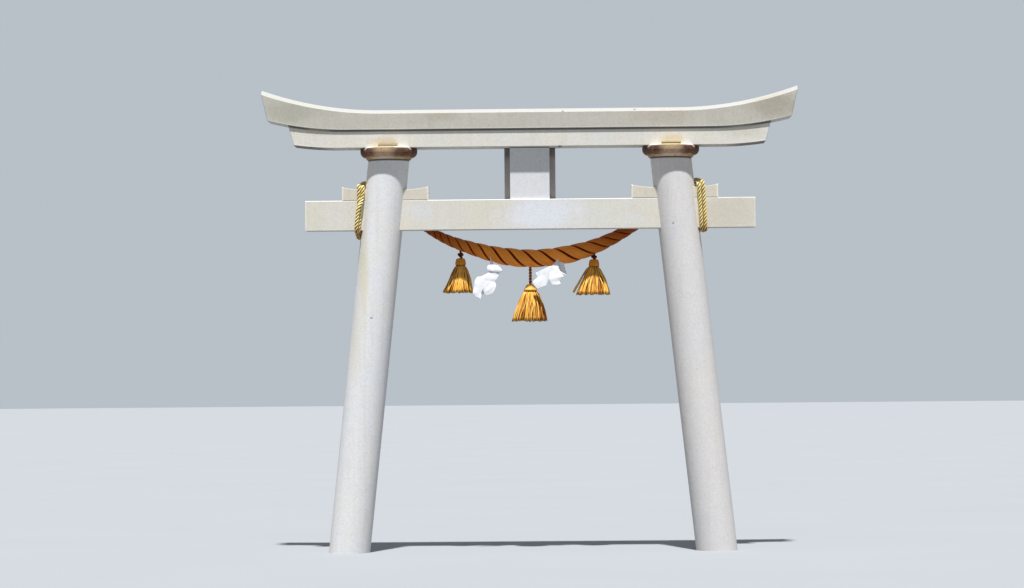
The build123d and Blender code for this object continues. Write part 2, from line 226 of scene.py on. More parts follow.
# Cream granite of the tie beam, sawn smooth, blue-white in its middle, with painted highlights along its arrises and
# ends
beamLook = {
    **plainLook, "cool": "e2e0d8", "warm": "e3dccb", "fleck": "9a968c", "rain": "cec8ba",
    "lines": [(3.892, -0.008, 0.006, 0.004, "f6f3ea", 0.8), (3.56, -0.004, 0.008, 0.003, "f6f3ea", 0.7)],
    "ends": [(2.487, 0.01, 0.006, "f4f0e6", 0.8)],
    "marks": [
        ((0.15, -0.11, 3.73), (0.55, 0.3, 0.3), "e6e9f2", 0.75),
        ((-1.2, -0.11, 3.76), (0.2, 0.3, 0.12), "dfe3ec", 0.4), ((1.15, -0.11, 3.66), (0.2, 0.3, 0.09), "dfe2ea", 0.3),
        ((2.2, -0.11, 3.72), (0.42, 0.3, 0.3), "cdc4b0", 0.6),
        ((1.045, -0.08, 3.895), (0.022, 0.06, 0.012), "ffffff", 0.9)]}
weatheredGranite("sawnBeamGranite", beamLook, "nuki")
# The wedges are a shade darker and warmer
weatheredGranite("sawnWedgeGranite", {
    **plainLook, "cool": "dcd6c6", "warm": "d9cfb9", "fleck": "9a968c", "rain": "c4bca6",
    "lines": [(3.892, -0.004, 0.006, 0.003, "a39a86", 0.6)],
    # painted highlights: pale bands at the wedges' ends
    "ends": [(2.076, 0.012, 0.006, "f6f1e2", 0.8), (1.126, 0.012, 0.006, "f6f1e2", 0.8)]},
    "wedge_left_outer", "wedge_left_inner", "wedge_right_outer", "wedge_right_inner")
# The lower lintel has a dark joint along its top, partly dirt and partly painted shade, a painted highlight along its
# lower arris, and rust-coloured water runs over the capitals
weatheredGranite("sawnLowerLintelGranite", {
    **beamLook, "cool": "e2e1dc", "warm": "e6dfce", "rainDepth": 0.4, "bend": (2.02, 3.55), "ends": [],
    "lines": [(4.669, -0.022, 0.004, 0.006, "4a453f", 0.85), (4.47, -0.004, 0.009, 0.003, "f0ebdf", 0.6)],
    "marks": [
        ((-1.6, -0.19, 4.53), (0.2, 0.3, 0.075), "d5bd95", 0.6),
        ((1.56, -0.19, 4.53), (0.17, 0.3, 0.07), "d9c096", 0.55),
        ((2.35, -0.19, 4.62), (0.35, 0.3, 0.1), "cfc6b4", 0.5),
        ((-2.35, -0.19, 4.66), (0.2, 0.3, 0.06), "cfc7ae", 0.5),
        ((0.335, -0.19, 4.468), (0.03, 0.3, 0.01), "4a443e", 0.9)]}, "shimaki")
# The top lintel stands in the weather: grey-green upright faces and a pale line along its lower arris, a painted
# highlight
weatheredGranite("weatheredTopLintelGranite", {
    **plainLook, "patch": 0.6, "cool": "d8d5ca", "warm": "dbd3c5", "fleck": "8d8a7d", "rain": "b3ae9f",
    "rainDepth": 0.45, "dirt": "cec9bb", "dirtDepth": 0.8, "blotch": 0.3, "contrast": 0.045, "bump": 0.3,
    "rough": 0.78, "bend": (2.02, 3.55), "lines": [(4.669, -0.004, 0.012, 0.004, "ece9e0", 0.75)],
    "marks": [
        ((-2.6, -0.19, 4.88), (0.45, 0.3, 0.16), "b4b4a2", 0.55), ((2.7, -0.19, 4.9), (0.35, 0.3, 0.2), "aea490", 0.6),
        ((1.45, -0.19, 4.78), (0.4, 0.3, 0.12), "c6b9a8", 0.45),
        ((-1.0, -0.19, 4.8), (0.25, 0.3, 0.08), "bdb29c", 0.4),
        ((0.372, -0.14, 4.852), (0.016, 0.3, 0.012), "4a4640", 0.85),
        ((1.165, -0.14, 4.868), (0.018, 0.3, 0.012), "4a4640", 0.85)]}, "kasagi")
# Bluish granite of the strut and tablet, with painted shadow in a dark band where they meet the lintel
strutLook = {
    **plainLook, "patch": 0.4, "cool": "dfe1e4", "warm": "e2e0de", "fleck": "90939a", "dirt": "d8dade",
    "lines": [(4.47, -0.01, 0.01, 0.003, "3a3432", 0.85)]}
weatheredGranite("sawnStrutGranite", strutLook, "gakuzuka")
# The tablet hangs in the lintel's shade: its darker tone, darker upright faces and dark top are painted shade
weatheredGranite("shadePaintedTabletGranite", {
    **strutLook, "cool": "b4b5b8", "warm": "b8b2ac", "dirt": "8c857e", "dirtDepth": 0.5,
    "marks": [((0.0, 0.1, 4.42), (0.6, 0.5, 0.1), "54484a", 0.7)]}, "tablet_frame", "tablet_panel")
print("stone finished")


# Granite of the capital rings: gold towards one place along X, brown towards the sides, with painted shade, nearly
# black, under the lintel and a pale rim that is partly washed stone, partly painted highlight. Level is the height
# share from foot to seat.
def stainedRing(name, look):
    finish, tree = newFinish(name)
    place = addNode("TexCoord", [], "Object", tree)
    level, covered, middle, washed = [addNode("Attribute", [], "Fac", tree, attribute_name=label)
                                      for label in ("level", "covered", "middle", "washed")]
    patches = addNode("TexNoise", {"Scale": 1 / look["patch"], "Detail": 3, "Roughness": 0.6, "Vector": place})
    shifted = addNode("MapRange", [patches, 0.3, 0.7, -look["ragged"], look["ragged"]])
    raggedLevel = addNode("Math", [level, shifted], operation="ADD")
    raggedMiddle = addNode("Math", [shifted, 4.0, middle], operation="MULTIPLY_ADD")
    onSeat = addNode("MapRange", [level, 0.755, 0.765, 0.0, 1.0])
    colour, gold, seat, rim = [addNode("ValToRGB", [value], stops=look[part]) for part, value in (
        ("sides", raggedLevel), ("middle", raggedLevel), ("seat", level), ("rim", middle))]
    for shade, share in ((gold, raggedMiddle), (seat, onSeat), (look["covered"], covered), (rim, washed)):
        colour = addNode("Mix", {0: share, 6: colour, 7: shade}, 2, data_type="RGBA", clamp_factor=True)
    return closeGranite(finish, place, colour, look)


ringLook = {**plainLook, "patch": 0.05, "ragged": 0.05, "fleck": "4a3a28", "fleckDepth": 0.3, "contrast": 0.08,
            # covered is painted shade: near-black on the ring where it lies under the lintel
            "covered": "4e2a12", "rim": [(0.15, "f0e8dc"), (0.7, "c8bda0")],
            # by level: the light foot is painted light, standing in for light thrown up from the ground, and the darker
            # band over the cushion's under-curve is painted shade
            "middle": [(0.0, "ecd0b4"), (0.11, "e6c8a8"), (0.17, "b69678"), (0.34, "c6a68a"), (0.5, "b8966e"),
                       (0.6, "bea278"), (0.76, "c6ad80")],
            "sides": [(0.0, "d0ac80"), (0.1, "c8a072"), (0.16, "704c30"), (0.34, "5c3826"), (0.5, "5e3a28"),
                      (0.64, "70503e"), (0.76, "846452")]}
# seat bands: a gold seat with a pale band that is a painted highlight and a darker band below it that is painted shade
leftSeatGoldAndPaintedLight = [(0.78, "7c7256"), (0.86, "9c9072"), (0.93, "bdb292"), (1.0, "948a6a")]
rightSeatGoldAndPaintedLight = [(0.78, "67583a"), (0.86, "84744c"), (0.9, "d0c096"), (1.0, "b8a67c")]
ringGranite = {"left": stainedRing("stainedRingGranite", {**ringLook, "seat": leftSeatGoldAndPaintedLight}),
               "right": stainedRing("goldRingGranite", {**ringLook, "seat": rightSeatGoldAndPaintedLight})}


# Fibre laid along a cord: fine lines that follow each strand, a gloss of their own colour, and painted shade by the
# depth attribute, dark between strands and where a cord lies in shade. The laid attribute is a strand's own place:
# metres along it, then across it.
def laidFibre(name, look):
    finish, tree = newFinish(name)
    along = addNode("Attribute", [], "Vector", tree, attribute_name="laid")
    depth = addNode("Attribute", [], "Fac", tree, attribute_name="depth")
    scale = (1 / look["fibreLength"], 1 / look["fibre"], 1 / look["fibre"])
    drawnOut = addNode("Mapping", {"Scale": scale, "Vector": along})
    fibres = addNode("TexNoise", {"Scale": 1.0, "Detail": 3, "Roughness": 0.6, "Vector": drawnOut})
    colour = addNode("ValToRGB", [fibres], stops=list(zip((0.28, 0.5, 0.72), look["colours"])))
    patches = addNode("TexNoise", {"Scale": 1 / look["patch"], "Detail": 2, "Vector": along})
    worn = addNode("MapRange", [patches, 0.3, 0.7, 0.86, 1.1])
    colour = addNode("Mix", {0: 1.0, 6: colour, 7: worn}, 2, data_type="RGBA", blend_type="MULTIPLY")
    # painted shade: the depth attribute lays the dark colour into the grooves and the shaded parts
    colour = addNode("Mix", {0: depth, 6: colour, 7: look["groove"]}, 2, data_type="RGBA")
    relief = addNode("Bump", {"Strength": look["bump"], "Distance": look["fibre"] / 2, "Height": fibres})
    return closeFinish(finish, {"Base Color": colour, "Roughness": look["rough"], "Normal": relief,
                                "Specular Tint": look["colours"][-1]})


# The rope's strands are wrapped smooth in fibre of deep orange-brown: partly its own colour, partly painted shade, as
# the rope hangs in the tie beam's shade
ropeFibre = laidFibre("orangeRopeFibre", {
    "fibre": 0.007, "fibreLength": 0.35, "patch": 0.25, "bump": 0.35, "rough": 0.62,
    "colours": ("ea8430", "ff9c3e", "ffb45c"), "groove": "7c1c06"})
# Gold cord catches the light on every turn
goldCord = laidFibre("goldCordFibre", {
    "fibre": 0.004, "fibreLength": 0.08, "patch": 0.06, "bump": 0.4, "rough": 0.42,
    "colours": ("ffd878", "fff0a0", "fffac8"), "groove": "8c5006"})
# Loose yarn of the same gold, and a deeper orange copy for the side heads' binding: painted shade, as those heads hang
# in the tie beam's shade
yarnLook = {"fibre": 0.006, "fibreLength": 0.12, "patch": 0.05, "bump": 0.4}
tasselYarn = laidFibre("goldTasselYarn", {
    **yarnLook, "rough": 0.45, "colours": ("eea436", "fec254", "ffe69c"), "groove": "8a3604"})
headYarn = laidFibre("orangeHeadYarn", {
    **yarnLook, "rough": 0.5, "colours": ("cc7c20", "ee9c38", "fbb856"), "groove": "6a2a06"})
# The dark cord that the side tassels are knotted on with, and the brown one that the middle tassel hangs by, its brown
# partly painted shade
thinCordLook = {"fibre": 0.004, "fibreLength": 0.05, "patch": 0.05, "bump": 0.5, "rough": 0.6}
knotCord = laidFibre("redBrownKnotCord", {
    **thinCordLook, "colours": ("4a1c0c", "74300f", "94502a"), "groove": "2a0f06"})
hangerCord = laidFibre("brownHangerCord", {
    **thinCordLook, "colours": ("8c5426", "b07438", "d09a58"), "groove": "5a180c"})


# Handmade paper, white with soft creases and a faint pulp in its gloss
def whitePaper(name, look):
    finish, tree = newFinish(name)
    place = addNode("TexCoord", [], "Object", tree)
    creases = addNode("TexNoise", {"Scale": 1 / look["crease"], "Detail": 4, "Roughness": 0.6, "Vector": place})
    pulp = addNode("TexNoise", {"Scale": 1 / look["pulp"], "Detail": 2, "Vector": place})
    # painted shade: the tone is a little darker where the crease relief is low
    tone = addNode("ValToRGB", [creases], stops=look["tone"])
    relief = addNode("Bump", {"Strength": look["bump"], "Distance": 0.003, "Height": creases})
    dull = addNode("MapRange", [pulp, 0, 1, 0.7, 0.95])
    return closeFinish(finish, {"Base Color": tone, "Roughness": dull, "Normal": relief, "IOR": 1.45,
                                "Specular IOR Level": 0.3})


streamerPaper = whitePaper("creasedWhitePaper", {"crease": 0.04, "pulp": 0.004, "bump": 0.4,
                                                 "tone": [(0.3, "ecedf2"), (0.7, "f6f6f9")]})


# Puts points, faces and point attributes into one mesh piece that rides on the gate in place of CAD nodes
def makePiece(name, slotName, replaced, finish, points, faces, **attributes):
    mesh = bpy.data.meshes.new(name)
    mesh.from_pydata(np.asarray(points).reshape(-1, 3).tolist(), [], faces)
    for label, values in attributes.items():
        wide = values.size == 3 * len(mesh.vertices)
        layer = mesh.attributes.new(label, "FLOAT_VECTOR" if wide else "FLOAT", "POINT")
        layer.data.foreach_set("vector" if wide else "value", values.astype(np.float32).ravel())
    mesh.polygons.foreach_set("use_smooth", np.full(len(mesh.polygons), True))
    mesh.materials.append(finish)
    piece = addObject(name, mesh)
    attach(piece, "root")
    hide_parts(*replaced)
    return piece


# Points from their parts, each an array or a constant
def gathered(*parts):
    return np.stack(np.broadcast_arrays(*parts), axis=-1)


# Quads on a grid of point numbers, each from a point to the next row, the next column and back up
def gridFaces(index):
    quads = gathered(index[:-1, :-1], index[1:, :-1], index[1:, 1:], index[:-1, 1:])
    return quads.reshape(-1, 4).tolist()


# Faces of tubes on a grid of (tube, station, side), each quad from a point to the next side and the next station,
# with a flat face at both ends
def tubeFaces(tubes, stations, sides):
    index = np.arange(tubes * stations * sides).reshape(tubes, stations, sides)
    beside = np.roll(index, -1, axis=2)
    quads = gathered(index[:, :-1], beside[:, :-1], beside[:, 1:], index[:, 1:]).reshape(-1, 4).tolist()
    return quads + index[:, 0, ::-1].tolist() + index[:, -1].tolist()


# Faces of a turned shape on a grid of (row from the top down, place around), closed at both ends
def turnedFaces(rows, around, start=0):
    index = start + np.arange(rows * around).reshape(rows, around)
    return gridFaces(np.c_[index, index[:, 0]]) + [index[0].tolist(), index[-1, ::-1].tolist()]


# Points round an upright axis: (x + radius * cos(turn), y + radius * sin(turn), height)
def roundAxis(x, y, radius, turn, height):
    return gathered(x + radius * np.cos(turn), y + radius * np.sin(turn), height)


# Turns all the way round in even steps, without the last one
def fullTurn(count):
    return np.linspace(0, 2 * np.pi, count, endpoint=False)


# Unit vectors of an array of vectors
def unit(vectors):
    return vectors / np.linalg.norm(vectors, axis=-1, keepdims=True)


# Share that grows softly from 0 to 1 between two values: 3 t^2 - 2 t^3
def softStep(values, low, high):
    t = np.clip((values - low) / (high - low), 0, 1)
    return 3 * t ** 2 - 2 * t ** 3


# Frame of a line: side is the guide with its part along the line taken away, up at right angles to both
def lineFrame(lines, guides):
    forward = unit(np.gradient(lines, axis=-2))
    side = unit(guides - (guides * forward).sum(-1, keepdims=True) * forward)
    return side, np.cross(forward, side)


# Tubes along many paths at once: point = path + radius * (cos(turn) * side + sin(turn) * up)
def tubesAlong(paths, radii, guides, sides):
    side, up = lineFrame(paths, guides)
    turn = fullTurn(sides)[:, None]
    ring = np.cos(turn) * side[:, :, None] + np.sin(turn) * up[:, :, None]
    return paths[:, :, None] + radii[:, :, None, None] * ring, ring


# Points of a smooth NURBS line near its control points, spaced evenly by length
def splineLine(controls, perMetre):
    curve = bpy.data.curves.new("route", "CURVE")
    curve.dimensions = "3D"
    curve.resolution_u = 24
    spline = curve.splines.new("NURBS")
    spline.points.add(len(controls) - 1)
    spline.points.foreach_set("co", np.c_[np.asarray(controls, float), np.ones(len(controls))].ravel())
    spline.order_u = 3
    spline.use_endpoint_u = True
    holder = bpy.data.objects.new("route", curve)
    line = bpy.data.meshes.new_from_object(holder)
    points = np.zeros(len(line.vertices) * 3)
    line.vertices.foreach_get("co", points)
    points = points.reshape(-1, 3)
    bpy.data.objects.remove(holder)
    bpy.data.curves.remove(curve)
    bpy.data.meshes.remove(line)
    reach = np.r_[0, np.cumsum(np.linalg.norm(np.diff(points, axis=0), axis=1))]
    even = np.linspace(0, reach[-1], int(reach[-1] * perMetre))
    return gathered(*[np.interp(even, reach, points[:, axis]) for axis in range(3)]), even


# Phase of laid strands: a full turn every lay, which is a share of the cord's radius
def layPhase(reach, radii, lay):
    steps = np.diff(reach) * 2 / ((lay * radii)[1:] + (lay * radii)[:-1])
    return 2 * np.pi * np.r_[0, np.cumsum(steps)]


# Capital rings, turned, with a seat that the lintel is housed in and one palest place along X.
# Cushion: radius = foot + bulge * sin(t), height = top - depth * cos(t).
ringSizes = {"centre": 1.5625, "foot": 4.346, "footRadius": 0.25, "radius": 0.315, "rim": 0.02, "cushionTop": 0.085,
             "top": 0.131, "rounding": 0.014, "seatRadius": 0.215, "seatTop": 0.176, "seatRounding": 0.008,
             "footRounding": 0.003, "hole": 0.02, "lintelHalf": 0.186, "soffit": 0.124, "around": 220}
palestPlaces = {"left": -0.04, "right": 0.0}


# Quarter turn of an arris from upright to level: (radius - r + r sin, height - r + r cos)
def arris(radius, height, rounding):
    t = np.linspace(0, np.pi / 2, 6)
    return gathered(radius - rounding + rounding * np.sin(t), height - rounding + rounding * np.cos(t))


# The profile turned round, and its masks: stain by level and place, painted shade under the lintel, and the pale rim
def makeRing(side, palest, centre, foot, footRadius, radius, rim, cushionTop, top, rounding, seatRadius, seatTop,
             seatRounding, footRounding, hole, lintelHalf, soffit, around):
    t = np.linspace(np.pi / 2, 0, 20)
    profile = np.vstack([
        gathered(np.linspace(hole, seatRadius - seatRounding, 16)[:-1], seatTop),
        arris(seatRadius, seatTop, seatRounding),
        gathered(seatRadius, np.linspace(seatTop - seatRounding, top, 6)[1:]),
        gathered(np.linspace(seatRadius, radius - rounding, 9)[1:-1], top),
        arris(radius, top, rounding),
        gathered(radius, np.linspace(top - rounding, cushionTop, 9)[1:-1]),
        gathered(footRadius + (radius - footRadius) * np.sin(t), cushionTop - (cushionTop - rim) * np.cos(t)),
        [(footRadius, footRounding), (footRadius - footRounding, 0.0), (5 * hole, 0.0), (hole, 0.0)]])
    x, y, height = np.moveaxis(roundAxis(0, 0, profile[:, :1], fullTurn(around), profile[:, 1:]), -1, 0)
    # under the lintel the ring stops at its soffit
    housed = np.where(abs(y) < lintelHalf - 0.012, np.minimum(height, soffit), height)
    points = gathered((1 if side == "right" else -1) * centre + x, y, foot + housed)
    # the pale rim lies along the arris and curls down where the lintel's shade begins: partly washed stone, partly
    # painted highlight
    rimHeight = top - 0.004 - 0.024 * softStep(abs(x), 0.222, 0.26)
    washed = np.exp(-((height - rimHeight) / 0.0085) ** 2) * (1 - softStep(abs(x), 0.248, 0.262)) * (height <= top)
    # painted shade on the ring under the lintel, deepest towards its soffit
    covered = (1 - softStep(abs(y), 0.15, lintelHalf + 0.004)) * (0.3 + 0.7 * softStep(height, 0.03, 0.1))
    makePiece("capitalRing" + side.capitalize(), "capital_stone", ["capital_" + side], ringGranite[side], points,
              turnedFaces(len(profile), around), level=height / seatTop, covered=covered,
              middle=np.exp(-((x - palest) / 0.12) ** 4), washed=washed)


for side, palest in palestPlaces.items():
    makeRing(side, palest, **ringSizes)
print("capital rings turned")


# Straw rope: three strands pressed into sectors. Section is half a strand's outline, as (degrees from its crest, share
# of the rope's radius).
ropeSizes = {
    "route": [(-1.8157, 0.184, 4.1128), (-1.773, 0.2225, 4.0702), (-1.7232, 0.2512, 4.0221), (-1.6685, 0.269, 3.9712),
              (-1.2891, 0.2365, 3.668), (-0.9668, 0.2065, 3.471), (-0.6445, 0.1851, 3.358), (-0.3223, 0.1723, 3.2695),
              (0.0, 0.168, 3.238), (0.3223, 0.1723, 3.264), (0.6445, 0.1851, 3.34), (0.9668, 0.2065, 3.4834),
              (1.2891, 0.2365, 3.674), (1.6685, 0.269, 3.9712), (1.7232, 0.2512, 4.0221), (1.773, 0.2225, 4.0702),
              (1.8157, 0.184, 4.1128)],
    "middle": 0.1, "reach": (0.35, 1.45), "radius": (0.101, 0.03),
    "section": [(0, 1.0), (13, 0.997), (25, 0.985), (36, 0.966), (44, 0.942), (50, 0.905), (54, 0.85), (57, 0.76),
                (58.5, 0.62), (58.5, 0.42), (58, 0.2)],
    "strands": 3, "layAt": (-1.05, -0.8, 0.0, 0.5, 0.9), "lay": (4.86, 5.83, 5.6, 5.98, 6.27), "start": 0.0625,
    "perMetre": 100.8, "endShade": 0.82,
}


# Radius of the rope at x: full near its thickest place, then a straight taper
def ropeRadius(x):
    return np.interp(abs(x - ropeSizes["middle"]), ropeSizes["reach"], ropeSizes["radius"])


# Point = line + radius * share * (cos(phase + angle) * side + sin(phase + angle) * up)
def makeRope(sizes):
    line, reach = splineLine(sizes["route"], sizes["perMetre"])
    reach = reach - reach[-1] / 2
    radii = ropeRadius(line[:, 0])
    phase = layPhase(reach, radii, np.interp(line[:, 0], sizes["layAt"], sizes["lay"]))
    phase = phase - np.interp(0, line[:, 0], phase) + 2 * np.pi * sizes["start"]
    # the last 30 mm round off to a blunt tip
    radii = radii * (0.35 + 0.65 * np.sqrt(np.clip((reach[-1] - abs(reach)) / 0.03, 0, 1)))
    side, up = lineFrame(line, np.broadcast_to([0.0, 0.0, 1.0], line.shape))
    angle, share = np.array(sizes["section"]).T
    angle = np.radians(np.r_[angle, -angle[:0:-1]])
    share = np.r_[share, share[:0:-1]]
    strand = np.arange(sizes["strands"])[:, None, None]
    turn = (phase[None, :, None] + angle + 2 * np.pi * strand / sizes["strands"])[..., None]
    outward = np.cos(turn) * side[:, None] + np.sin(turn) * up[:, None]
    points = line[:, None] + (radii[:, None] * share)[None, ..., None] * outward
    # painted shade: dark in the grooves between strands and towards the ends, which hang deeper in shade
    grooves = np.maximum(softStep(abs(np.degrees(angle)), 45, 53), softStep(-share, -0.9, -0.8))
    shaded = sizes["endShade"] * softStep(abs(line[:, 0]), 0.25, 1.1)[:, None]
    depth = np.broadcast_to(np.maximum(grooves, shaded), points.shape[:3])
    across = radii[:, None] * share * angle
    laid = gathered(reach[None, :, None], across[None], strand * 0.7)
    faces = tubeFaces(sizes["strands"], len(line), len(angle))
    makePiece("strawRope", "rope_fibre", ["shimenawa"], ropeFibre, points, faces, depth=depth, laid=laid)
    print("rope laid, metres long:", round(2 * reach[-1], 3))
    return line


ropeLine = makeRope(ropeSizes)


# Round strands laid round a line, and a core that fills their middle, drawn all dark as painted shade, in one piece.
# A strand's middle = line + layRadius * (cos(phase) * side + sin(phase) * up).
def makeCord(name, replaced, line, reach, finish, sizes):
    count, sides = sizes["strands"], sizes["sides"]
    radii = np.full(len(reach), sizes["radius"])
    radii[[0, 1, -2, -1]] *= 0.7
    guide = np.broadcast_to(sizes["guide"], line.shape)
    side, up = lineFrame(line, guide)
    phase = (layPhase(reach, radii, sizes["lay"]) + 2 * np.pi * np.arange(count)[:, None] / count)[..., None]
    outward = np.cos(phase) * side + np.sin(phase) * up
    paths = line + (radii * sizes["layRadius"])[None, :, None] * outward
    strandRadii = np.broadcast_to(radii * sizes["strandRadius"], paths.shape[:2])
    points, ring = tubesAlong(paths, strandRadii, outward, sides)
    # painted shade, depth: 1 where a strand's skin turns in towards its neighbours, 0 on the crest, by the cosine from
    # outward
    crest = np.clip((ring * outward[:, :, None]).sum(-1), -1, 1)
    depth = softStep(-crest, -sizes["grooveFrom"], -sizes["grooveTo"])
    low, high, most = sizes["shade"]
    depth = np.maximum(depth, (most * (1 - softStep(line[:, 2], low, high)))[None, :, None])
    turn, strand = fullTurn(sides), np.arange(count)[:, None, None]
    strandRadii = strandRadii[..., None]
    laid = gathered(reach[:, None], strandRadii * np.cos(turn), strandRadii * np.sin(turn) + strand * 0.7)
    core = tubesAlong(line[None], radii[None] * sizes["layRadius"] * 0.8, guide[None], sides)[0]
    return makePiece(name, "gold_cord", replaced, finish, np.r_[points, core],
                     tubeFaces(count + 1, len(reach), sides), depth=np.r_[depth, np.ones_like(depth[:1])],
                     laid=np.r_[laid, laid[:1]])


# Gold lashings, from the rope's end over the wedge, down the front, under the tie beam and up the back, twice. The
# left one hangs slack and crosses itself. Shade is (height where it is full, height where it ends, how deep).
lashingSizes = {"radius": 0.0215, "strands": 3, "lay": 5.6, "layRadius": 0.53, "strandRadius": 0.48, "grooveFrom": 0.77,
                "grooveTo": 0.52, "perMetre": 250, "sides": 10, "guide": (1.0, 0.02, 0.01)}
lashingShade = {"left": (3.5, 3.66, 0.72), "right": (3.5, 3.76, 0.5)}
lashingRoutes = {
    "left": [
        (-1.8, 0.2, 4.094), (-1.835, 0.168, 4.106), (-1.868, 0.105, 4.09), (-1.888, 0.03, 4.066),
        (-1.892, -0.06, 4.052), (-1.89, -0.138, 4.056), (-1.891, -0.138, 3.985), (-1.893, -0.128, 3.92),
        (-1.892, -0.128, 3.87), (-1.88, -0.128, 3.82), (-1.884, -0.128, 3.72), (-1.894, -0.128, 3.62),
        (-1.896, -0.133, 3.532), (-1.896, -0.05, 3.537), (-1.894, 0.05, 3.537), (-1.89, 0.133, 3.532),
        (-1.882, 0.13, 3.64), (-1.868, 0.13, 3.8), (-1.852, 0.13, 3.96), (-1.848, 0.138, 4.046),
        (-1.848, 0.06, 4.038), (-1.848, -0.06, 4.038), (-1.846, -0.138, 4.046), (-1.848, -0.138, 3.975),
        (-1.855, -0.134, 3.91), (-1.866, -0.15, 3.862), (-1.89, -0.172, 3.822), (-1.902, -0.17, 3.77),
        (-1.91, -0.17, 3.68), (-1.919, -0.168, 3.6), (-1.918, -0.16, 3.545), (-1.905, -0.11, 3.49),
        (-1.898, -0.02, 3.48), (-1.9, 0.085, 3.488), (-1.912, 0.14, 3.54), (-1.926, 0.136, 3.64),
        (-1.918, 0.14, 3.8), (-1.9, 0.165, 3.94), (-1.868, 0.185, 4.04), (-1.832, 0.195, 4.094)],
    "right": [
        (1.8, 0.2, 4.096), (1.835, 0.17, 4.112), (1.872, 0.105, 4.102), (1.898, 0.03, 4.08),
        (1.907, -0.06, 4.064), (1.909, -0.14, 4.068), (1.912, -0.138, 3.995), (1.9195, -0.128, 3.916),
        (1.926, -0.128, 3.78), (1.932, -0.128, 3.65), (1.935, -0.133, 3.532), (1.935, -0.05, 3.537),
        (1.925, 0.05, 3.537), (1.912, 0.133, 3.532), (1.902, 0.13, 3.65), (1.888, 0.13, 3.8),
        (1.872, 0.13, 3.96), (1.866, 0.138, 4.047), (1.865, 0.06, 4.038), (1.8645, -0.06, 4.038),
        (1.8645, -0.138, 4.046), (1.867, -0.136, 3.98), (1.8755, -0.128, 3.916), (1.881, -0.128, 3.78),
        (1.888, -0.128, 3.65), (1.892, -0.133, 3.532), (1.891, -0.05, 3.537), (1.882, 0.05, 3.537),
        (1.869, 0.133, 3.532), (1.859, 0.13, 3.65), (1.846, 0.13, 3.8), (1.836, 0.148, 3.94),
        (1.832, 0.178, 4.045), (1.832, 0.195, 4.096)],
}
for name, route in lashingRoutes.items():
    line, reach = splineLine(route, lashingSizes["perMetre"])
    sizes = {**lashingSizes, "shade": lashingShade[name]}
    turns = [f"lashing_{name}_1", f"lashing_{name}_2"]
    makeCord("goldLashing" + name.capitalize(), turns, line, reach, goldCord, sizes)
    print("lashing", name, "metres of cord:", round(reach[-1], 3))


# Tassels: drop is from the rope's underside to the head, profile the head's (share down, share of its radius), swing
# how far the hem is blown (x, y), darkArc the threads in shade, and stray a thread that stands off (angle, share of
# the spread), where none has angle 9.
sideHead = {"foot": 0.35, "headRadius": 0.054, "binding": headYarn, "darkArc": (0.0, 0.0), "profile": [
    (0, 0.0), (0.02, 0.45), (0.06, 0.7), (0.14, 0.87), (0.28, 0.97), (0.48, 1.0), (0.58, 1.05), (0.72, 1.1),
    (0.84, 1.08), (0.93, 1.02), (1.0, 1.04)]}
middleHead = {"foot": 0.5, "headRadius": 0.074, "binding": tasselYarn, "darkArc": (-0.85, 0.25), "profile": [
    (0, 0.0), (0.03, 0.42), (0.1, 0.55), (0.25, 0.67), (0.45, 0.77), (0.58, 0.86), (0.68, 0.98), (0.8, 1.03),
    (0.9, 0.98), (0.95, 0.9), (1.0, 0.94)]}
# brown is painted shade over the head and the upper skirt, where the tie beam shades the side tassels
tasselSizes = {
    "left": {**sideHead, "x": -0.783, "drop": 0.084, "head": 0.08, "skirt": 0.312, "spread": (0.057, 0.166),
             "brown": 0.06, "bulge": 0.04, "swing": (-0.028, 0.008), "stray": (9.0, 1.0), "seed": 3},
    "middle": {**middleHead, "x": -0.006, "drop": 0.186, "head": 0.078, "skirt": 0.34, "spread": (0.08, 0.192),
               "brown": 0.0, "bulge": 0.1, "swing": (-0.014, 0.0), "stray": (9.0, 1.0), "seed": 5},
    "right": {**sideHead, "x": 0.704, "drop": 0.053, "head": 0.085, "skirt": 0.317, "spread": (0.058, 0.186),
              "brown": 0.03, "bulge": 0.06, "swing": (-0.014, -0.018), "stray": (3.14, 1.2), "seed": 8},
}
yarnSizes = {"outer": 64, "middle": 42, "radius": (0.005, 0.0082), "stations": 10, "sides": 4,
             "core": 0.82, "coreAround": 40, "coreShadeDepth": 0.8, "sunkShare": 0.4}


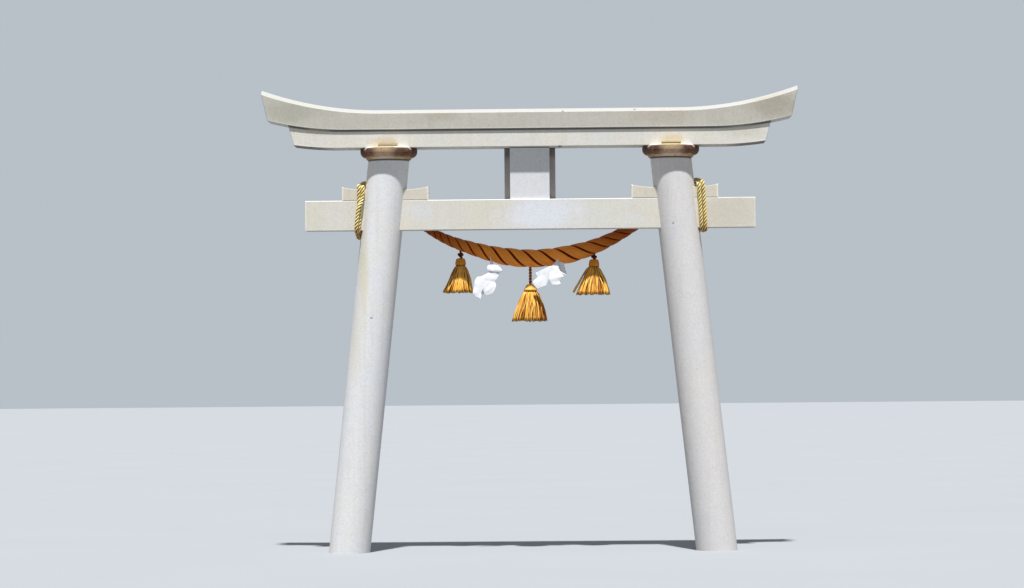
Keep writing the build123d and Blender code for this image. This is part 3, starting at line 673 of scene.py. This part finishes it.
# Skirt of loose yarn round a dark core: each thread falls on a cone, point = centre + spread(u) * (cos, sin), with
# slow waves of its own and its own cut end
def makeSkirt(name, sizes, centre, top):
    yarn, seed, swing = yarnSizes, sizes["seed"], sizes["swing"]
    chance = np.random.default_rng(seed)
    counts = (yarn["outer"], yarn["middle"])
    threads = sum(counts)
    order = np.arange(threads)
    angle = np.concatenate([fullTurn(count) for count in counts]) + chance.normal(0, 0.03, threads)
    share = np.repeat((1.0, 0.9), counts) * (1 + chance.normal(0, 0.03, threads))
    u = np.linspace(0, 1, yarn["stations"])
    fall = sizes["skirt"] * (1 + chance.normal(0, 0.012, threads)) * (0.985 - 0.01 * np.cos(angle * 3 + seed))
    stray = (abs(angle - sizes["stray"][0]) < 0.07) & (order < yarn["outer"])
    share = np.where(stray, sizes["stray"][1], share)[:, None]
    fall = np.where(stray, fall * 0.9, fall)[:, None]
    ease = u + sizes["bulge"] * np.sin(np.pi * u)
    neck, hem = sizes["spread"]
    cone = (neck + (hem - neck) * ease) * (1 - 0.25 * np.exp(-(u / 0.05) ** 2))
    # clumps of threads, and each thread's slow waves, sideways and in and out
    wave = chance.normal(0, 1, (threads, 4))
    loose = softStep(u, 0.0, 0.4)
    clump = 0.045 * np.sin(angle * 13 + seed)[:, None] * softStep(u, 0.25, 1.0)
    turned = angle[:, None] + clump + 0.065 * wave[:, :1] * np.sin(np.pi * (1.8 * u + wave[:, 2:3])) * loose
    spread = cone * share - yarn["radius"][1] + 0.005 * wave[:, 1:2] * np.sin(np.pi * (2.4 * u + wave[:, 3:])) * loose
    x, y = centre[0] + swing[0] * u ** 1.5, centre[1] + swing[1] * u ** 1.5
    paths = roundAxis(x, y, spread, turned, top + 0.004 - fall * u)
    radii = np.interp(u, (0, 1), yarn["radius"]) * (1 + 0.15 * wave[:, :1].clip(-1, 1))
    radii = radii * np.where(u > 0.97, 0.8, 1.0) * np.where(stray, 1.4, 1.0)[:, None]
    points = tubesAlong(paths, radii, roundAxis(0, 0, 1, turned, 0), yarn["sides"])[0]
    faces = tubeFaces(threads, yarn["stations"], yarn["sides"])
    turn, radii = fullTurn(yarn["sides"]), radii[..., None]
    ownPlace = radii * np.sin(turn) + order[:, None, None] * 0.31
    laid = gathered((fall * u)[..., None], radii * np.cos(turn), ownPlace)
    # painted shade: some threads lie sunk or in shade, and all are darker inwards and near the head
    low, high = sizes["darkArc"]
    shaded = 0.5 * ((angle - low) % (2 * np.pi) < high - low)
    sunk = np.where(chance.uniform(0, 1, threads) < yarn["sunkShare"], chance.uniform(0.4, 0.8, threads), 0.0)
    sunk = np.where(stray, 0.0, sunk + shaded + 0.35 * (order >= yarn["outer"]))
    nearHead = 3.0 * sizes["brown"] * (1 - softStep(u, 0.1, 0.65))
    depth = sunk[:, None, None] + 0.8 * np.clip(-np.cos(turn), 0, 1) + nearHead[:, None]
    # a dark core, painted shade, that closes the skirt between its threads
    core = roundAxis(x[:, None], y[:, None], (cone * yarn["core"])[:, None], fullTurn(yarn["coreAround"]),
                     (top - 0.96 * sizes["skirt"] * u)[:, None])
    faces += turnedFaces(*core.shape[:2], start=points.size // 3)
    core = core.reshape(-1, 3)
    laid = np.r_[laid.reshape(-1, 3), core]
    depth = np.r_[np.clip(depth, 0, 1).ravel(), np.full(len(core), yarn["coreShadeDepth"])]
    points = np.r_[points.reshape(-1, 3), core]
    makePiece("tasselSkirt" + name.capitalize(), "tassel_yarn", [f"tassel_{name}_skirt"], tasselYarn, points, faces,
              laid=laid, depth=depth)


# Bound head, turned: radius = profile(u) * (1 + folds), the folds fading out over the binding's level turns
def makeHead(name, sizes, centre, top):
    rows, around, foldCount = 70, 72, 24
    turn, radius = fullTurn(around), sizes["headRadius"]
    u = np.linspace(0, 1, rows)[:, None]
    down, share = np.array(sizes["profile"]).T
    binding = softStep(u, 0.5, 0.58) * (1 - softStep(u, 0.84, 0.9))
    turns = abs(np.sin(np.pi * 3 * (u - 0.54) / 0.33))
    fold = (1 - binding) * np.cos(turn * foldCount + 2 * u)
    reach = radius * (np.interp(u, down, share) + 0.03 * binding * turns) * (1 + 0.03 * fold * softStep(u, 0.0, 0.15))
    reach[0], reach[-1] = 0.003, radius * 0.5
    points = roundAxis(centre[0], centre[1], reach, turn, top - sizes["head"] * 1.02 * u)
    # fibres run down the head, but round it over the binding
    below, beside = np.broadcast_arrays(u * sizes["head"], turn * radius)
    wound = binding > 0.5
    laid = gathered(np.where(wound, beside, below), np.where(wound, below, beside), 0)
    # painted shade: dark in the binding's grooves, at the head's foot, in a line at half height, in the folds, and all
    # over by the brown share
    grooves = binding * (1 - turns) ** 2 * 0.5 + softStep(u, 0.88, 0.94) * sizes["foot"]
    depth = grooves + 0.3 * np.exp(-((u - 0.5) / 0.03) ** 2) + 0.175 * (1 - binding - fold) + sizes["brown"]
    makePiece("tasselHead" + name.capitalize(), "tassel_yarn", [f"tassel_{name}_head"], sizes["binding"], points,
              turnedFaces(rows, around), laid=laid, depth=np.clip(depth, 0, 1))


# The middle tassel hangs by a twisted brown cord, the others by a knot of dark cord, whose loops are given from the
# rope's underside: metres sideways, metres in depth, shares of the drop
hangerSizes = {"radius": 0.0185, "strands": 2, "lay": 3.6, "layRadius": 0.48, "strandRadius": 0.52, "grooveFrom": 0.6,
               "grooveTo": 0.1, "perMetre": 420, "sides": 10, "guide": (1.0, 0.0, 0.02), "shade": (0, 1, 0)}
knotSizes = {"radius": 0.0125, "strands": 3, "lay": 6.0, "layRadius": 0.52, "strandRadius": 0.5, "grooveFrom": 0.8,
             "grooveTo": 0.3, "perMetre": 520, "sides": 8, "guide": (0.3, 1.0, 0.1), "shade": (0, 1, 0)}
knotLoops = [
    (0.0, 0.0, 0.25), (0.006, 0.0, -0.05), (-0.006, -0.012, -0.24), (0.022, -0.026, -0.42), (0.036, 0.004, -0.6),
    (0.004, 0.026, -0.56), (-0.034, 0.008, -0.42), (-0.024, -0.022, -0.64), (0.014, -0.02, -0.84),
    (0.018, 0.01, -0.94), (0.0, 0.004, -1.05), (0.0, 0.0, -1.18)]
knotWidth = 0.72
for name, sizes in tasselSizes.items():
    centre = [np.interp(sizes["x"], ropeLine[:, 0], ropeLine[:, axis]) for axis in range(3)]
    under = centre[2] - ropeRadius(sizes["x"])
    headTop = under - sizes["drop"]
    if name == "middle":
        drop = np.linspace(under + 0.004, headTop - 0.004, 5)
        line, reach = splineLine([(*centre[:2], height) for height in drop], hangerSizes["perMetre"])
        hanger = makeCord("tasselCordMiddle", ["tassel_middle_cord"], line, reach, hangerCord, hangerSizes)
        print("tassel cord, metres long:", round(reach[-1], 3))
    else:
        loops = np.array(knotLoops) * (knotWidth, knotWidth, sizes["drop"]) + (*centre[:2], under)
        line, reach = splineLine(loops, knotSizes["perMetre"])
        makeCord("tasselKnot" + name.capitalize(), [f"tassel_{name}_knot"], line, reach, knotCord, knotSizes)
    makeHead(name, sizes, centre, headTop)
    makeSkirt(name, sizes, centre, headTop - sizes["head"])
print("tassels made")


# Paper streamers, each cut from one sheet of 243 by 333 mm handmade paper, folded and blown about. A leaf is a strip
# of rows from its top down: (left x, left z, right x, right z, y), x from the streamer's middle.
streamerSizes = {"flat": (0.243, 0.333), "thickness": 0.0012, "spacing": 0.005, "crease": 0.0016, "creases": 5,
                 "billow": 0.008}
streamers = {
    "left": {"x": -0.446, "seed": 4, "leaves": [
        [(-0.004, 3.262, 0.004, 3.262, 0.104), (-0.003, 3.24, 0.005, 3.238, 0.086),
         (-0.004, 3.215, 0.016, 3.213, 0.07), (-0.004, 3.19, 0.034, 3.186, 0.052),
         (-0.01, 3.168, 0.05, 3.166, 0.036)],
        [(-0.018, 3.172, 0.05, 3.176, 0.036), (-0.032, 3.158, 0.088, 3.16, 0.032),
         (-0.038, 3.14, 0.114, 3.136, 0.029), (-0.037, 3.12, 0.13, 3.108, 0.027),
         (-0.028, 3.104, 0.112, 3.088, 0.027)],
        [(-0.022, 3.13, 0.108, 3.116, 0.037), (-0.024, 3.088, 0.094, 3.07, 0.033),
         (-0.095, 3.048, 0.088, 3.042, 0.03), (-0.112, 3.033, 0.074, 3.014, 0.028),
         (-0.118, 3.0, 0.052, 2.985, 0.026), (-0.114, 2.955, 0.062, 2.95, 0.022),
         (-0.098, 2.915, 0.058, 2.925, 0.018), (-0.08, 2.88, 0.046, 2.889, 0.014),
         (-0.066, 2.85, 0.018, 2.85, 0.012), (-0.044, 2.832, -0.02, 2.836, 0.011)],
        [(-0.15, 3.04, -0.085, 3.046, 0.024), (-0.174, 2.995, -0.06, 3.0, 0.02),
         (-0.186, 2.926, -0.072, 2.926, 0.014), (-0.197, 2.864, -0.1, 2.87, 0.009),
         (-0.18, 2.838, -0.1, 2.836, 0.007), (-0.163, 2.818, -0.105, 2.812, 0.005),
         (-0.13, 2.799, -0.108, 2.796, 0.004)],
        [(-0.112, 2.94, -0.058, 2.935, 0.044), (-0.11, 2.89, -0.066, 2.88, 0.046),
         (-0.104, 2.845, -0.078, 2.846, 0.048)]]},
    "right": {"x": 0.275, "seed": 9, "leaves": [
        [(0.018, 3.236, 0.034, 3.234, 0.088), (0.008, 3.214, 0.04, 3.208, 0.074),
         (-0.008, 3.19, 0.044, 3.182, 0.06), (-0.034, 3.165, 0.04, 3.152, 0.046),
         (-0.048, 3.146, 0.028, 3.134, 0.038)],
        [(-0.225, 3.076, -0.05, 3.156, 0.034), (-0.214, 3.052, -0.05, 3.11, 0.031),
         (-0.203, 3.027, -0.06, 3.06, 0.028), (-0.226, 3.004, -0.07, 3.02, 0.025),
         (-0.25, 2.982, -0.082, 2.99, 0.022), (-0.242, 2.945, -0.094, 2.96, 0.019),
         (-0.216, 2.914, -0.108, 2.933, 0.016), (-0.203, 2.902, -0.161, 2.919, 0.014)],
        [(-0.058, 3.15, 0.022, 3.14, 0.03), (-0.06, 3.11, 0.042, 3.106, 0.027),
         (-0.066, 3.07, 0.072, 3.064, 0.024), (-0.074, 3.029, 0.093, 3.038, 0.02),
         (-0.07, 3.0, 0.062, 3.01, 0.017), (-0.058, 2.975, 0.043, 2.985, 0.015),
         (-0.036, 2.944, 0.058, 2.953, 0.013), (-0.001, 2.929, 0.03, 2.938, 0.012)],
        [(0.018, 3.142, 0.032, 3.138, 0.032), (0.042, 3.098, 0.054, 3.096, 0.03), (0.058, 3.074, 0.068, 3.086, 0.029),
         (0.098, 3.054, 0.104, 3.066, 0.029), (0.118, 3.048, 0.121, 3.058, 0.029)],
        [(0.03, 3.206, 0.07, 3.2, 0.096), (0.036, 3.19, 0.092, 3.186, 0.095), (0.036, 3.15, 0.102, 3.15, 0.093),
         (0.038, 3.11, 0.112, 3.108, 0.091), (0.041, 3.072, 0.121, 3.076, 0.09),
         (0.08, 3.056, 0.127, 3.058, 0.089)]]},
}


# Rows of a leaf drawn out to more rows by a cubic that keeps each row's slope (Hermite)
def smoothRows(rows, count):
    slopes = np.gradient(rows, axis=0)
    at = np.linspace(0, len(rows) - 1, count)
    low = np.minimum(at.astype(int), len(rows) - 2)
    t = (at - low)[:, None]
    return ((2 * t ** 3 - 3 * t ** 2 + 1) * rows[low] + (t ** 3 - 2 * t ** 2 + t) * slopes[low]
            + (3 * t ** 2 - 2 * t ** 3) * rows[low + 1] + (t ** 3 - t ** 2) * slopes[low + 1])


# Leaf: point = left edge + v * (right edge - left edge), billowed by 4 v (1 - v) and creased by folded waves
# whose height is the distance to the nearest half of a turn along a few seeded directions
def leafGrid(rows, sizes, chance):
    fall = np.linalg.norm(np.diff((rows[:, :2] + rows[:, 2:4]) / 2, axis=0), axis=1).sum()
    wide = np.linalg.norm(rows[:, 2:4] - rows[:, :2], axis=1).max()
    down, across = int(fall / sizes["spacing"]) + 3, int(wide / sizes["spacing"]) + 3
    leftX, leftZ, rightX, rightZ, y = smoothRows(rows, down).T[..., None]
    v = np.linspace(0, 1, across)
    x, z = leftX + (rightX - leftX) * v, leftZ + (rightZ - leftZ) * v
    width = np.hypot(rightX - leftX, rightZ - leftZ)
    y = y - sizes["billow"] * 4 * v * (1 - v) * width / 0.15
    count = sizes["creases"]
    heading, wavelength = chance.uniform(0, np.pi, count), chance.uniform(0.05, 0.11, count)
    start, height = chance.uniform(0, 1, count), sizes["crease"] * chance.uniform(0.5, 1.0, count)
    turns = (x[..., None] * np.cos(heading) + z[..., None] * np.sin(heading)) / wavelength + start
    y = y + (height * (2 * abs(turns - np.floor(turns) - 0.5) - 0.5)).sum(-1) * np.clip(width / 0.1, 0, 1)
    return gathered(x, y, z)


# One streamer of all its leaves, given a sheet's thickness
def makeStreamer(name, streamer, sizes):
    chance = np.random.default_rng(streamer["seed"])
    points, faces, start = [], [], 0
    for rows in streamer["leaves"]:
        leaf = leafGrid(np.array(rows), sizes, chance)
        count = leaf.size // 3
        faces += gridFaces(start + np.arange(count).reshape(leaf.shape[:2]))
        points.append(leaf.reshape(-1, 3) + (streamer["x"], 0, 0))
        start += count
    paper = makePiece("paperStreamer" + name.capitalize(), "paper", ["shide_" + name], streamerPaper,
                      np.concatenate(points), faces)
    wall = paper.modifiers.new("paperThickness", "SOLIDIFY")
    wall.thickness = sizes["thickness"]
    wall.offset = 0


for name, streamer in streamers.items():
    makeStreamer(name, streamer, streamerSizes)
print("paper streamers hung")


# Ground: a plain wide floor, seen pale, that throws back little light, so that the shade stays deep
groundSizes = {"reach": 140.0, "cloud": 2.5, "seen": [(0.3, "9da1a4"), (0.7, "9fa3a6")], "bounce": "7d8184",
               "rough": 0.95}


def makeGround(sizes):
    finish, tree = newFinish("paleFloor")
    place = addNode("TexCoord", [], "Object", tree)
    cloudy = addNode("TexNoise", {"Scale": 1 / sizes["cloud"], "Detail": 2, "Vector": place})
    seen = addNode("ValToRGB", [cloudy], stops=sizes["seen"])
    looked = addNode("LightPath", [], "Is Camera Ray", tree)
    tone = addNode("Mix", {0: looked, 6: sizes["bounce"], 7: seen}, 2, data_type="RGBA")
    closeFinish(finish, {"Roughness": sizes["rough"], "Base Color": tone})
    mesh = bpy.data.meshes.new("paleFloor")
    reach = sizes["reach"]
    corners = [(-reach, -reach, 0), (reach, -reach, 0), (reach, reach, 0), (-reach, reach, 0)]
    mesh.from_pydata(corners, [], [(0, 1, 2, 3)])
    mesh.materials.append(finish)
    addObject("paleFloor", mesh)


makeGround(groundSizes)

# Light: an even pale room, and one lamp high in front, so that the lintels shade the pillars
lightSizes = {"room": 0.27, "roomColour": (0.95, 0.985, 1.08, 1), "lamp": 5.5, "lampHeight": 70.5, "lampSpread": 2.0,
              "backdrop": "b8c0c8"}


def makeLight(sizes):
    world = bpy.data.worlds.new("room")
    bpy.context.scene.world = world
    world.use_nodes = True
    tree = world.node_tree
    tree.nodes.clear()
    room, shown = [addNode("Background", {"Color": colour, "Strength": strength}, 0, tree)
                   for colour, strength in ((sizes["roomColour"], sizes["room"]), (sizes["backdrop"], 1.0))]
    # seen straight, in a gloss or through a thing, the room shows as the backdrop
    seen = addNode("LightPath", [], "Is Camera Ray", tree)
    rays = seen.node.outputs
    for ray in ("Is Glossy Ray", "Is Transmission Ray"):
        seen = addNode("Math", [seen, rays[ray]], operation="MAXIMUM")
    addNode("OutputWorld", {"Surface": addNode("MixShader", [seen, room, shown])})
    lamp = bpy.data.lights.new("frontLamp", "SUN")
    lamp.energy = sizes["lamp"]
    lamp.angle = np.radians(sizes["lampSpread"])
    # the lamp shines down its own -Z, tipped back from straight down
    addObject("frontLamp", lamp).rotation_euler = (np.radians(90 - sizes["lampHeight"]), 0, 0)


makeLight(lightSizes)
bpy.context.scene.view_settings.view_transform = "Standard"

print("all pieces made")
